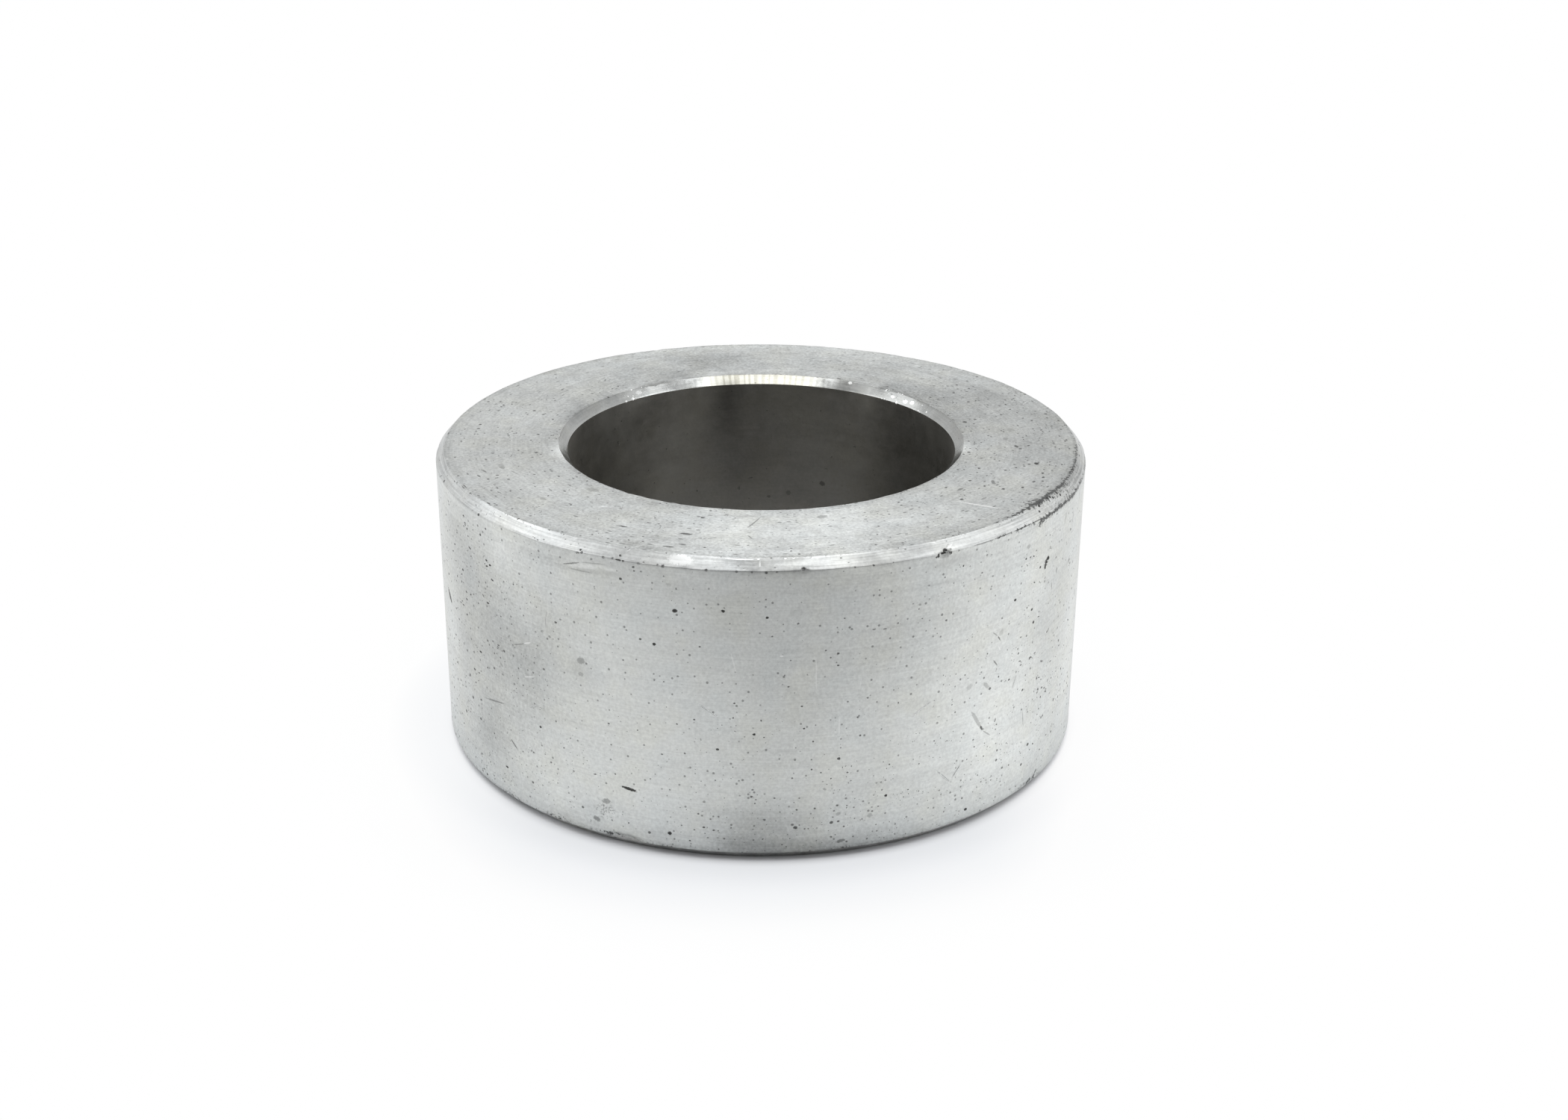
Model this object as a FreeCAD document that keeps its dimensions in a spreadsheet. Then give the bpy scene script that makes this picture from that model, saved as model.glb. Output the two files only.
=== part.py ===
import FreeCAD, Part
import os
import Sketcher

# Spacer: one short, thick-walled turned ring, standing on one of its end faces.
# Millimetres. Z runs up the axis of the bore, the origin is the centre of the lower end
# face, and the side that the marks below are on faces -Y.

# The driving dimensions, each written once
RING_SIZES = [
    ("bore_diameter", 30.0),
    ("wall_thickness", 10.0),
    ("ring_length", 23.0),
    ("outer_top_chamfer", 0.65),
    ("outer_foot_chamfer", 0.65),
    ("bore_top_chamfer", 0.65),
    ("bore_foot_chamfer", 0.65),
]

# The radii that follow from them, as the features read them
BORE_RADIUS = "Sizes.bore_diameter / 2"
OUTER_RADIUS = "(Sizes.bore_diameter / 2 + Sizes.wall_thickness)"

# Knocks in the outer wall. Each is the mark of a rounded edge that struck it: turn is the
# angle round the ring from -Y towards +X, and slant is how far the mark leans, both in
# degrees. A knock near the top is placed by its drop below the top face, one near the foot by
# its rise above the foot. sweep is the radius of the striking edge along the mark, edge its
# radius across the mark, and deep is how far it went in.
KNOCKS = [
    ("rim_nick", dict(turn=29.9, drop=0.78, slant=-12.0, sweep=0.8, edge=0.28, deep=0.22)),
    ("nail_dent", dict(turn=-29.2, drop=1.86, slant=-4.0, sweep=80.0, edge=0.56, deep=0.07)),
    ("sickle_nick", dict(turn=55.9, drop=4.6, slant=-76.0, sweep=1.05, edge=0.14, deep=0.12)),
    ("long_dent", dict(turn=38.9, rise=8.2, slant=55.0, sweep=17.0, edge=1.1, deep=0.08)),
    ("foot_chip", dict(turn=-23.0, rise=0.62, slant=0.0, sweep=6.0, edge=0.34, deep=0.3)),
]


def write_sizes(doc):
    """The sheet of driving dimensions: a name and a plain number on each row."""
    rows = list(RING_SIZES)
    for knock, measures in KNOCKS:
        rows += [(knock + "_" + measure, value) for measure, value in measures.items()]
    sheet = doc.addObject("Spreadsheet::Sheet", "Sizes")
    for number, (alias, value) in enumerate(rows, start=1):
        sheet.set("A%d" % number, alias)
        sheet.set("B%d" % number, str(value))
        sheet.setAlias("B%d" % number, alias)
    doc.recompute()
    return sheet


def ring_outline(sheet):
    """The bore's radius, the outer wall's radius and the height of the top face."""
    bore = sheet.bore_diameter / 2
    return bore, bore + sheet.wall_thickness, sheet.ring_length


def origin_plane(body, role):
    """One of the body's own base planes, such as XZ_Plane."""
    return next(o for o in body.Origin.OriginFeatures if o.Role == role)


def turn_ring(doc, body, sheet):
    """The plain ring: its wall's section, a rectangle beside the axis, turned once round it."""
    section = body.newObject("Sketcher::SketchObject", "WallSection")
    section.AttachmentSupport = (origin_plane(body, "XZ_Plane"), [""])
    section.MapMode = "FlatFace"
    inner, outer, top = ring_outline(sheet)
    corners = [(inner, 0.0), (outer, 0.0), (outer, top), (inner, top)]
    for start, end in zip(corners, corners[1:] + corners[:1]):
        line = Part.LineSegment(FreeCAD.Vector(*start, 0), FreeCAD.Vector(*end, 0))
        section.addGeometry(line, False)
    for side in range(4):
        section.addConstraint(Sketcher.Constraint("Coincident", side, 2, (side + 1) % 4, 1))
    foot, outside, head, inside = range(4)
    for side in (foot, head):
        section.addConstraint(Sketcher.Constraint("Horizontal", side))
    for side in (outside, inside):
        section.addConstraint(Sketcher.Constraint("Vertical", side))
    section.addConstraint(Sketcher.Constraint("PointOnObject", foot, 1, -1))
    sizes = [
        ("bore_radius", ("DistanceX", -1, 1, foot, 1, inner), BORE_RADIUS),
        ("outer_radius", ("DistanceX", -1, 1, foot, 2, outer), OUTER_RADIUS),
        ("length", ("DistanceY", outside, 1, outside, 2, top), "Sizes.ring_length"),
    ]
    for name, constraint, formula in sizes:
        index = section.addConstraint(Sketcher.Constraint(*constraint))
        section.renameConstraint(index, name)
        section.setExpression("Constraints." + name, formula)
    ring = body.newObject("PartDesign::Revolution", "TurnedRing")
    ring.Profile = section
    ring.ReferenceAxis = (section, ["V_Axis"])
    ring.Angle = 360.0
    doc.recompute()


def rim_at(shape, radius, height):
    """The name of the round edge of that radius at that height."""
    for number, edge in enumerate(shape.Edges, start=1):
        if isinstance(edge.Curve, Part.Circle):
            same_radius = abs(edge.Curve.Radius - radius) < 1e-6
            same_height = abs(edge.Curve.Center.z - height) < 1e-6
            if same_radius and same_height:
                return "Edge%d" % number
    raise RuntimeError("the ring has no rim of radius %g at height %g" % (radius, height))


def chamfer_rims(doc, body, sheet):
    """A 45 degree chamfer on each of the four rims, one feature and one size for each."""
    bore, outer, top = ring_outline(sheet)
    rims = [
        ("OuterTopChamfer", "outer_top_chamfer", outer, top),
        ("OuterFootChamfer", "outer_foot_chamfer", outer, 0.0),
        ("BoreTopChamfer", "bore_top_chamfer", bore, top),
        ("BoreFootChamfer", "bore_foot_chamfer", bore, 0.0),
    ]
    for name, size, radius, height in rims:
        before = body.Tip
        chamfer = body.newObject("PartDesign::Chamfer", name)
        chamfer.Base = (before, [rim_at(before.Shape, radius, height)])
        chamfer.setExpression("Size", "Sizes." + size)
        doc.recompute()


def knock_wall(doc, body, knock, measures):
    """One hollow in the outer wall: a torus outside the wall, whose rim goes into it."""
    own = "Sizes." + knock + "_"
    away = "(" + OUTER_RADIUS + " + " + own + "sweep - " + own + "deep)"
    height = own + "rise" if "rise" in measures else "Sizes.ring_length - " + own + "drop"
    hollow = body.newObject("PartDesign::SubtractiveTorus", knock.title().replace("_", ""))
    hollow.AttachmentSupport = (origin_plane(body, "XY_Plane"), [""])
    hollow.MapMode = "FlatFace"
    hollow.setExpression("Radius1", own + "sweep - " + own + "edge")
    hollow.setExpression("Radius2", own + "edge")
    hollow.setExpression("AttachmentOffset.Base.x", away + " * sin(" + own + "turn)")
    hollow.setExpression("AttachmentOffset.Base.y", "-" + away + " * cos(" + own + "turn)")
    hollow.setExpression("AttachmentOffset.Base.z", height)
    hollow.setExpression("AttachmentOffset.Rotation.Yaw", own + "turn")
    hollow.setExpression("AttachmentOffset.Rotation.Pitch", own + "slant")
    doc.recompute()


def check(doc, body):
    """Stops if a feature failed, or if a chamfer or a knock left no face of its own."""
    for item in doc.Objects:
        if "Invalid" in item.State or "Error" in item.State:
            raise RuntimeError("%s failed: %s" % (item.Label, item.State))
    features = [f for f in body.Group if f.isDerivedFrom("PartDesign::Feature")]
    for before, after in zip(features, features[1:]):
        faces = len(after.Shape.Faces)
        print("%-16s brings the ring to %d faces" % (after.Label, faces))
        if faces <= len(before.Shape.Faces):
            raise RuntimeError(after.Label + " took nothing away")
    shape = body.Shape
    if shape.isNull() or not shape.isValid() or len(shape.Solids) != 1:
        raise RuntimeError(body.Label + " isn't one valid solid")


def main():
    doc = FreeCAD.newDocument("Spacer")
    sheet = write_sizes(doc)
    body = doc.addObject("PartDesign::Body", "Body")
    body.Label = "spacer"
    turn_ring(doc, body, sheet)
    chamfer_rims(doc, body, sheet)
    for knock, measures in KNOCKS:
        knock_wall(doc, body, knock, measures)
    check(doc, body)
    os.makedirs("parts", exist_ok=True)
    body.Shape.exportStep(os.path.join("parts", body.Label + ".step"))
    box = body.Shape.BoundBox
    print("%s: %.2f x %.2f x %.2f mm" % (body.Label, box.XLength, box.YLength, box.ZLength))


main()
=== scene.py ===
import math
import bpy
import numpy as np
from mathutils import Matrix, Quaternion, Vector


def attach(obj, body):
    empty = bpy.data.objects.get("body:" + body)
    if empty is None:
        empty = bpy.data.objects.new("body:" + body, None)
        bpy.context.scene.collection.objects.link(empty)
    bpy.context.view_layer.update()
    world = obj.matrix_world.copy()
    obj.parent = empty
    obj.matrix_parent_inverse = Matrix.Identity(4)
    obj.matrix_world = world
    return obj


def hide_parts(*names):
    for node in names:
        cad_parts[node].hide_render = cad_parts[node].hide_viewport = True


# The spacer ring, dressed: one turned steel ring on white paper. Sizes are in millimetres
# here and become metres when a mesh is made. A turn is an angle round the ring in degrees,
# 0 at the front (-Y) and 90 at the right (+X).

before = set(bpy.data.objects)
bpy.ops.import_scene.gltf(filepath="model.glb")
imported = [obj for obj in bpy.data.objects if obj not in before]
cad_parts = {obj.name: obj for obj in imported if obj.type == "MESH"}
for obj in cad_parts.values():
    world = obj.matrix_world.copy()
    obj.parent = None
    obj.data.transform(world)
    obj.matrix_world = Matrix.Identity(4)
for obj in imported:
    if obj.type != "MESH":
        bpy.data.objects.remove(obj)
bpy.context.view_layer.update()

MM = 0.001
BORE, OUTER, LENGTH, CHAMFER = 15.0, 25.0, 23.0, 0.65
# The outer top chamfer is a little steeper than the other three: its width in the top face, and
# its drop down the wall.
LIP, DROP = 0.66, 0.73

# The camera, as it stood to the ring in the photo: its place in metres, the way it looks, its
# roll in degrees, and its focal length and the width of its film in millimetres.
CAMERA_PLACE = (0.0, -0.150793, 0.076268)
CAMERA_HEADING = (0.01119752, 0.92111874, -0.38912065)
CAMERA_ROLL = 0.477
FOCAL_LENGTH, FILM_WIDTH = 47.217, 36.0

# The sides of the ring's section, in the order in which it is walked.
(UNDERSIDE, FOOT_CHAMFER, OUTER_WALL, TOP_CHAMFER,
 TOP_FACE, BORE_CHAMFER, BORE_SIDE, BORE_FOOT) = range(8)
OUTSIDE = (FOOT_CHAMFER, OUTER_WALL, TOP_CHAMFER)
# The finishes, in the order of the material slots, and the one that each side has.
WALL, FACE, RIM, BORED, MOUTH, FOOT = range(6)
FINISH_OF_SIDE = np.array([FACE, FOOT, WALL, RIM, FACE, MOUTH, BORED, FOOT])

# Hollows struck into the outer wall, the five of the solid first: turn, height, slant in
# degrees, radius of the striking edge along the mark, radius across it, and depth.
KNOCKS = np.array([
    (29.9, 22.22, -12, 0.8, 0.28, 0.22), (-29.2, 21.14, -4, 80, 0.56, 0.07),
    (55.9, 18.4, -76, 1.05, 0.14, 0.12), (38.9, 8.2, 55, 17, 1.1, 0.08), (-23, 0.62, 0, 6, 0.34, 0.3),
    (40.4, 10.8, 35, 14, 0.5, 0.03), (6.7, 22.3, 0, 1.4, 0.3, 0.05), (-48, 0.7, 10, 3, 0.3, 0.06),
    (56, 0.8, -30, 3, 0.4, 0.08),
])

# Marks on the wall and its upper chamfer: specks, scratches and dark patches, the painted shade and
# highlights of the dents, and painted highlights on the chamfer. Each: turn, height, half length, half
# width, lean in degrees, tone from -1 for black to 1 for bright, and depth in thousandths of a mm.
WALL_MARKS = [
    (-13.4, 19.1, 0.2, 0.14, 15, -1, 50), (-30, 14.05, 0.36, 0.28, 20, -0.42, 0),
    (-30.1, 13, 0.24, 0.18, 0, -0.3, 0), (-26, 3.37, 0.36, 0.22, 10, -0.5, 8),
    (-27.9, 1.74, 0.34, 0.2, -20, -0.55, 8), (49.4, 20.54, 0.22, 0.2, 0, -0.3, 0),
    (-21.7, 4.79, 0.66, 0.13, -8, -1, 20), (-46, 5.2, 0.52, 0.07, -38, -0.7, 8),
    (-51, 7.9, 1.45, 0.065, 12, -0.55, 6), (-41.2, 11.4, 0.58, 0.06, 18, 0.45, 3),
    (-4.2, 15.45, 0.84, 0.06, -76, 0.5, 3), (8.75, 14.55, 1.36, 0.055, -89, 0.4, 3),
    (12.6, 10.4, 0.82, 0.06, 90, 0.5, 3), (3.25, 16.02, 0.14, 0.065, 0, 0.8, 3),
    (16, 13.6, 0.5, 0.055, 84, 0.35, 2), (31.2, 22.55, 0.42, 0.09, 25, 0.7, 8),
    (-22.6, 22.26, 0.22, 0.07, 0, -0.85, 8), (-19.2, 22.26, 0.16, 0.09, 0, -0.45, 8),
    # The nail dent near turn -29: its thin dark edges and bright middle, on these two lines, are painted
    # shade and a painted highlight.
    (-31.3, 21.28, 0.82, 0.065, 17, -0.6, 0), (-27.2, 21.66, 1, 0.06, 6, -0.28, 0),
    (-29.7, 20.9, 1.05, 0.06, 1, -0.3, 0), (-29.2, 21.24, 1.25, 0.19, 8, 0.3, 0),
    # The dents near turns 39 and 40: the dark marks on these two lines are their painted shade.
    (38.4, 8.42, 1.1, 0.17, -57, -0.34, 0), (39.6, 7.62, 0.26, 0.11, -57, -0.85, 0),
    (40.8, 7.05, 0.5, 0.06, -38, -0.4, 0), (40.2, 10.95, 0.46, 0.16, -45, -0.3, 0),
    (36.3, 11.36, 0.32, 0.22, 20, -0.2, 0), (47.4, 10.2, 0.55, 0.07, 65, -0.35, 0),
    (50.7, 6.55, 0.7, 0.06, -80, -0.35, 0), (42.8, 7.8, 0.18, 0.09, 60, -0.6, 15),
    # The bright dots at height 22.96 near the front and the bright line at turn -3.2 are painted highlights
    # on the chamfer's upper edge.
    (71.5, 21.3, 0.7, 0.08, 90, -0.35, 0), (-0.4, 22.96, 0.1, 0.06, 0, 0.9, 10),
    (3.85, 22.96, 0.09, 0.05, 0, 0.9, 10), (5.15, 22.96, 0.09, 0.05, 0, 0.9, 10),
    (-3.2, 22.93, 1.1, 0.055, 0, 0.7, 5), (-0.15, 22.7, 0.24, 0.055, 90, 0.6, 5),
    (-69.6, 13.22, 0.72, 0.25, -38, -1, 30), (-27.9, 5.33, 0.12, 0.07, 20, -0.7, 20),
    (14.3, 17.73, 0.13, 0.065, 0, -0.6, 10), (18, 17.52, 0.16, 0.06, 0, -0.6, 10),
    (19.8, 17.43, 0.14, 0.06, 0, -0.6, 10), (42.6, 14.42, 0.42, 0.06, -55, -0.7, 8),
    (42.1, 12.48, 0.4, 0.06, -50, -0.65, 8), (42.9, 13.55, 0.28, 0.055, -60, 0.6, 4),
    (56.2, 1.03, 0.34, 0.16, 60, -0.75, 30), (-54.6, 21.75, 0.4, 0.06, 20, 0.5, 5),
    # The bright spot at turn -12.6 is a painted highlight in the chamfer.
    (-12.6, 22.7, 0.9, 0.4, 0, 0.75, 0), (-53.2, 16.03, 0.17, 0.08, -35, -0.65, 10),
    (-73.7, 7.74, 0.26, 0.2, 0, -0.35, 5), (-46, 13.92, 0.2, 0.08, 50, -0.35, 5),
    (-43.5, 13.64, 0.66, 0.05, 21, -0.45, 5), (-41.4, 14.03, 0.44, 0.06, 22, 0.6, 3),
    (-48.5, 11.25, 0.24, 0.09, -40, -0.35, 5), (-14.3, 20.97, 0.22, 0.12, -20, -0.16, 0),
    (10.4, 5.56, 0.16, 0.09, -30, -0.35, 0), (12.7, 3.48, 0.2, 0.14, 20, -0.35, 0),
    (18.1, 3.01, 0.22, 0.18, 0, -0.3, 0), (13.2, 1.27, 0.34, 0.14, 10, -0.6, 8),
    (41.7, 14.8, 0.34, 0.05, -40, -0.4, 5), (43.2, 14.72, 0.3, 0.22, 70, -0.2, 0),
    (60, 17.13, 0.24, 0.1, 85, -0.6, 10), (66.3, 16.87, 0.22, 0.12, 70, -0.6, 10),
    (73.5, 12.99, 0.3, 0.14, 80, -0.6, 10), (58, 12.66, 0.24, 0.06, 35, -0.5, 5),
    (29.1, 22.14, 0.13, 0.18, -10, -1, 0), (30.1, 22.24, 0.26, 0.12, 20, -1, 0),
    (31.2, 22.18, 0.13, 0.12, 0, -0.9, 10), (31, 22.6, 0.24, 0.06, 45, -0.3, 8),
    (29.8, 22.02, 0.3, 0.14, 0, -0.35, 0), (-62.3, 23, 0.3, 0.07, 0, -0.6, 0),
    (62.8, 20.8, 0.42, 0.055, 70, -0.5, 3), (67.3, 20.2, 0.5, 0.06, 88, -0.6, 3),
    (56.12, 18.63, 0.24, 0.2, 42, -1, 0), (55.66, 18.46, 0.3, 0.28, 60, -1, 0),
    (55.4, 18.2, 0.3, 0.26, 80, -1, 0), (38, 22.25, 1, 0.05, 0, -0.5, 0), (42.6, 22.25, 1, 0.05, 0, -0.6, 0),
    (47.2, 22.25, 1, 0.055, 0, -0.65, 0), (51.8, 22.24, 1, 0.055, 0, -0.7, 0),
    (57, 22.24, 1.1, 0.055, 0, -0.7, 0), (62, 22.24, 1.1, 0.055, 0, -0.75, 0),
]

# Marks in the top face, with the radius in place of the height.
TOP_MARKS = [
    (46.9, 21.24, 1.6, 0.11, -72, 1, 0), (-1.6, 18.1, 1.15, 0.06, 67, -0.55, 5),
    (-2.1, 20.7, 0.37, 0.06, -61, -0.55, 5), (-26.9, 21.12, 0.38, 0.11, 5, -0.9, 12),
    (-14.3, 20.8, 0.52, 0.14, 0, -0.85, 10), (-13.8, 17.61, 0.32, 0.14, 0, -0.9, 10),
    (-15.6, 23.3, 0.42, 0.11, 0, -0.8, 10), (-13.6, 22.67, 0.28, 0.1, 0, -0.75, 10),
    (-10.6, 21.32, 0.5, 0.1, 0, -0.45, 5), (-14.6, 17.28, 0.24, 0.08, 0, 0.8, 5),
    (-12.4, 17.75, 0.22, 0.07, 20, 0.5, 5), (14.2, 17.41, 0.45, 0.3, 20, -0.42, 3),
    (-45.9, 16.94, 0.6, 0.3, 10, -0.3, 3), (-70.4, 20.56, 0.55, 0.25, 0, -0.22, 3),
    (-48.9, 20.7, 0.32, 0.2, 0, -0.3, 3), (83.8, 19.7, 0.3, 0.16, 20, -0.8, 10),
    (74, 21.48, 0.26, 0.18, 20, -1, 10), (59.8, 19.65, 0.42, 0.14, 30, -0.6, 5),
    (50.4, 20.75, 0.36, 0.12, 0, -0.4, 5), (51.7, 18.4, 0.36, 0.14, 0, -0.55, 5),
    (84.7, 16.53, 0.28, 0.14, 0, -0.55, 5), (88.8, 18.92, 0.34, 0.2, 0, -0.32, 5),
    (94.9, 19.65, 0.55, 0.26, 0, -0.22, 3), (102.4, 16.5, 0.26, 0.18, 0, -0.8, 6),
    (-62.6, 24.12, 0.24, 0.06, 0, 0.5, 8), (-70, 20.57, 0.6, 0.22, 0, -0.35, 3),
    (-68.6, 21.98, 0.4, 0.09, 10, -0.55, 5), (-66.4, 22.63, 0.28, 0.1, 10, -0.65, 8),
    (-65.6, 20.02, 0.6, 0.06, 15, -0.4, 3), (-56.6, 22.57, 0.3, 0.07, 10, -0.6, 8),
    (-91.9, 20.67, 0.16, 0.22, 0, -0.35, 3), (-62.5, 24.2, 0.42, 0.06, 0, -0.65, 5),
    (-53.1, 24.24, 0.26, 0.08, 0, -0.75, 8), (-57.2, 24.1, 0.2, 0.08, 0, -0.55, 5),
    (-77, 24.2, 0.14, 0.09, 0, 0.6, 5), (-14.4, 17.5, 0.16, 0.09, 0, -0.8, 8),
    (-12.2, 17.1, 0.26, 0.07, 0, -0.5, 5), (7, 22.39, 0.2, 0.08, 0, -0.3, 3),
    (55.4, 23.8, 0.34, 0.1, -25, -0.85, 5), (60.9, 22.7, 0.34, 0.05, 80, -0.5, 3),
]

# Plain round specks in the wall and its upper chamfer, by tone: turn, height and half size.
WALL_SPECKS = {
    -1: [
        (54.2, 22.88, 0.14), (58.6, 22.95, 0.14), (57.6, 22.99, 0.12), (59.3, 22.82, 0.13),
        (-5.8, 19.33, 0.14), (1, 18.91, 0.12), (46.4, 16.82, 0.14), (-16.9, 16.42, 0.14),
        (51.5, 15.33, 0.13), (-1, 10.08, 0.12), (-39.1, 7.69, 0.12), (20.8, 4.38, 0.13), (-14.8, 1.76, 0.17),
        (36.7, 1.38, 0.15),
    ],
    -0.95: [
        (61.3, 22.87, 0.11), (61.9, 22.7, 0.13), (53.4, 22.62, 0.12), (30.3, 22.4, 0.19),
        (45.9, 10.59, 0.11), (-6.8, 8.82, 0.12),
    ],
    -0.9: [
        (-29.5, 22.4, 0.11), (-53.4, 22.27, 0.14), (31.1, 22.2, 0.07), (28.6, 22.1, 0.11),
        (-22.3, 20.92, 0.13), (-53.1, 20.78, 0.13), (-10.5, 11, 0.08), (6.9, 10.45, 0.09), (8.4, 9.4, 0.08),
        (12.6, 7.89, 0.14), (-63, 4.84, 0.16), (52.8, 4.11, 0.16),
    ],
    -0.85: [
        (-22.5, 22.5, 0.11), (-20, 21.66, 0.08), (-19.2, 16.65, 0.1), (-59.3, 6.71, 0.16),
        (11.6, 2.84, 0.15), (5.7, 2.64, 0.16), (-9.1, 2.54, 0.1), (-8.7, 2.53, 0.1),
    ],
    -0.8: [
        (60.5, 22.9, 0.08), (-70, 22.38, 0.16), (6.6, 22.36, 0.16), (0.8, 22.2, 0.12), (-20.1, 21.93, 0.11),
        (-51.3, 21.49, 0.11), (-35.4, 20.13, 0.08), (-44.2, 18.2, 0.08), (-9.5, 16.59, 0.08),
        (-34.8, 16.46, 0.12), (12.2, 16.01, 0.1), (12.2, 15.11, 0.09), (4.4, 13.71, 0.08),
        (-52.5, 12.55, 0.12), (-47.6, 12.49, 0.12), (-4.1, 12.44, 0.08), (17.2, 12.36, 0.08),
        (6.5, 12.17, 0.09), (15.6, 10.96, 0.08), (-25.1, 9.66, 0.09), (16.1, 9.51, 0.09),
        (-60.1, 8.43, 0.16), (-12.1, 8.29, 0.08), (-1.4, 5.18, 0.11), (43.7, 5.18, 0.11), (43.6, 4.39, 0.13),
        (12.5, 4.17, 0.1), (8.8, 4.09, 0.09), (5.9, 4.07, 0.09), (45.3, 3.48, 0.11), (12.7, 2.88, 0.1),
        (-41.5, 2.78, 0.12), (13.7, 2.41, 0.09), (-30.6, 2.34, 0.12), (-18.3, 1.55, 0.13),
    ],
    -0.75: [
        (-21.8, 22.24, 0.1), (30.9, 17.15, 0.1), (41.1, 10.58, 0.14), (18.5, 3.31, 0.09), (-7.5, 2.36, 0.1),
        (11.6, 1.68, 0.09), (14.2, 1.15, 0.1),
    ],
    -0.7: [
        (-65.4, 22.9, 0.1), (17.6, 22.27, 0.09), (0.8, 20.25, 0.07), (37.9, 19.99, 0.09), (13.1, 18.6, 0.07),
        (5.8, 18.44, 0.1), (-42, 18.28, 0.08), (1.8, 17.52, 0.08), (-21.5, 17.17, 0.07), (10.2, 16.31, 0.09),
        (11, 15.74, 0.08), (-22.2, 14.84, 0.08), (70.2, 13.91, 0.14), (-15.4, 13.66, 0.07),
        (-50.8, 12.77, 0.09), (57.5, 12.59, 0.13), (-37.8, 12.46, 0.11), (-52, 12.3, 0.09),
        (13.9, 12.25, 0.08), (39.5, 11.65, 0.1), (-50.8, 10.61, 0.13), (33.5, 9.71, 0.09),
        (-15.9, 8.01, 0.09), (50.1, 7.48, 0.11), (37.7, 6.94, 0.09), (5.1, 6.61, 0.09), (-1.2, 5.72, 0.09),
        (-37, 5.12, 0.1), (15.3, 3.84, 0.08), (12, 3.76, 0.08), (0.7, 3.34, 0.11), (5.2, 2.89, 0.12),
        (35.8, 2.44, 0.1), (12.2, 1.81, 0.08), (19.4, 1.63, 0.08),
    ],
    -0.65: [
        (-1.4, 22.23, 0.1), (68.9, 12.54, 0.14), (-57.8, 10.73, 0.12), (-60.8, 10.32, 0.14),
        (2.3, 5.07, 0.09), (7.2, 2.5, 0.08), (7.8, 2.5, 0.08),
    ],
    -0.6: [
        (-15.2, 22.26, 0.14), (14.6, 22.25, 0.08), (2.4, 22.24, 0.09), (-3.7, 22.23, 0.1),
        (10.4, 21.2, 0.07), (-43.3, 18.32, 0.06), (59.5, 18.23, 0.12), (14.3, 17.76, 0.08),
        (22, 17.71, 0.09), (26.3, 17.71, 0.08), (62.7, 17.59, 0.11), (27.1, 16.71, 0.07), (43.2, 15.84, 0.1),
        (4.7, 15.7, 0.07), (-49.2, 15.09, 0.09), (62.8, 14.05, 0.12), (-6, 13.96, 0.07),
        (-58.8, 13.68, 0.12), (-45.6, 13.62, 0.08), (50.3, 13.43, 0.12), (-50.5, 11.85, 0.09),
        (-47.5, 11.68, 0.08), (-3.4, 6.42, 0.08), (19.9, 5.53, 0.08), (20.1, 4.9, 0.08), (17.9, 4.01, 0.08),
        (18.4, 3.64, 0.07), (-6.7, 3.49, 0.09), (-8, 3.24, 0.09), (-6.8, 2.35, 0.08), (19.2, 2.17, 0.07),
        (-5.8, 1.74, 0.09), (15.3, 1.49, 0.09),
    ],
    -0.55: [
        (-23.6, 22.3, 0.1),
    ],
    -0.5: [
        (-18.4, 22.34, 0.08), (-29.1, 22.3, 0.1), (-16.1, 22.3, 0.1), (-8.4, 22.27, 0.12), (32.8, 22.2, 0.1),
        (-27.4, 21.96, 0.11), (-18.8, 21.7, 0.09), (28.4, 21.36, 0.06), (32.4, 20.79, 0.07),
        (40.4, 19.44, 0.1), (-51.7, 16.96, 0.09), (55.7, 16.33, 0.08), (-42, 16.09, 0.1), (54, 14.78, 0.1),
        (-48.3, 14.19, 0.09), (-44.6, 13.23, 0.09), (-55.6, 13.08, 0.11), (-39.9, 12.68, 0.1),
        (-49.8, 11.95, 0.08), (-62.2, 10.64, 0.13), (19.1, 5.54, 0.08), (-3.3, 5.24, 0.07), (-3, 5.24, 0.06),
        (6.3, 5, 0.08), (-0.7, 4.95, 0.08), (1, 4.78, 0.06), (-9, 4.6, 0.12),
    ],
    -0.45: [
        (-25.2, 22.24, 0.12), (-8, 20.93, 0.09), (43.1, 19.1, 0.09), (0.7, 5.4, 0.07),
    ],
    -0.4: [
        (27.3, 20.1, 0.1), (27.5, 19.06, 0.07), (-33.8, 16.8, 0.1), (-36.2, 15.2, 0.12),
    ],
    -0.35: [
        (25.8, 18.8, 0.12), (44.8, 18.19, 0.08), (37.9, 17.03, 0.1), (-37.8, 15.42, 0.13),
        (-39.3, 15.18, 0.09),
    ],
}

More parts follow.
